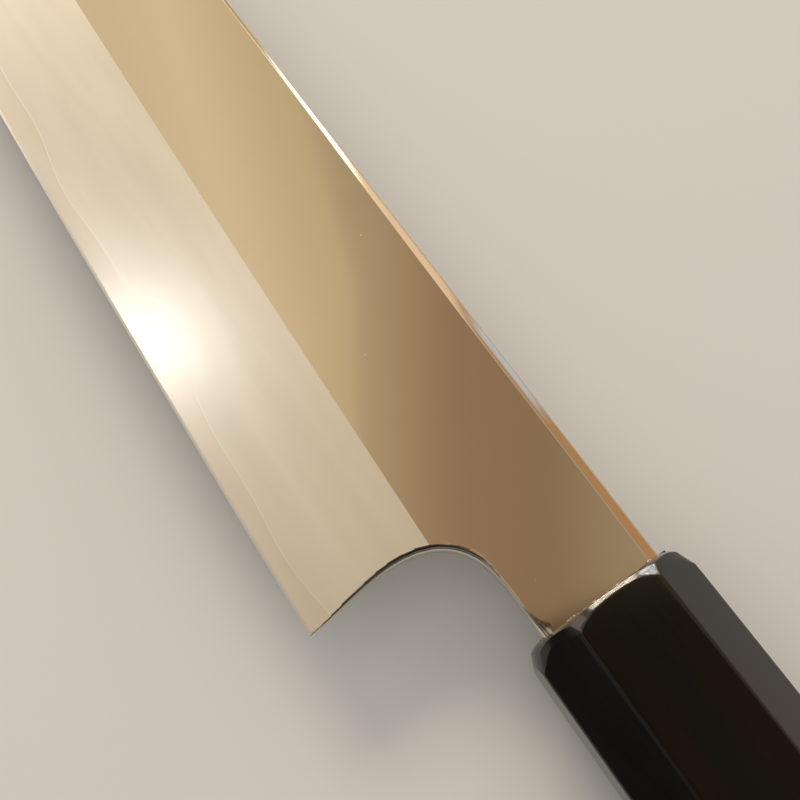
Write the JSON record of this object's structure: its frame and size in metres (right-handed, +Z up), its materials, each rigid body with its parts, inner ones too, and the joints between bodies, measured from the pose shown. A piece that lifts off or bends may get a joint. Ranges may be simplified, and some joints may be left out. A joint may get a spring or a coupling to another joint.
{
  "type": "sujihiki knife",
  "caption": "Long double-bevel slicing knife with a layered steel blade, mirror-polished flats, hazed bevels and a black octagonal handle behind a horn ferrule.",
  "frame": {"origin": "middle of the knife's box in plan, on the plane of the handle's right side facet", "axes": "+X along the handle towards the butt, +Y towards the spine, +Z up out of the blade's left face"},
  "size_m": [0.4312, 0.0432, 0.019],
  "materials": {
    "core_steel": "stone-ground hard stainless steel, fine haze",
    "cladding_steel": "mirror-polished flats and spine, hazed bevels",
    "buffalo_horn": "polished black buffalo horn",
    "ebony": "oiled and buffed ebony",
    "dowel_wood": "sawn and planed pale hardwood",
    "adhesive": "cured resin",
    "neck_seal": "cured resin bead"
  },
  "bodies": {
    "root": {"core_steel": "core_steel", "left_cladding": "cladding_steel", "right_cladding": "cladding_steel", "horn_ferrule": "buffalo_horn", "handle_body": "ebony", "ferrule_dowel": "dowel_wood", "tang_bedding": "adhesive", "neck_seal": "neck_seal"}
  },
  "joints": []
}
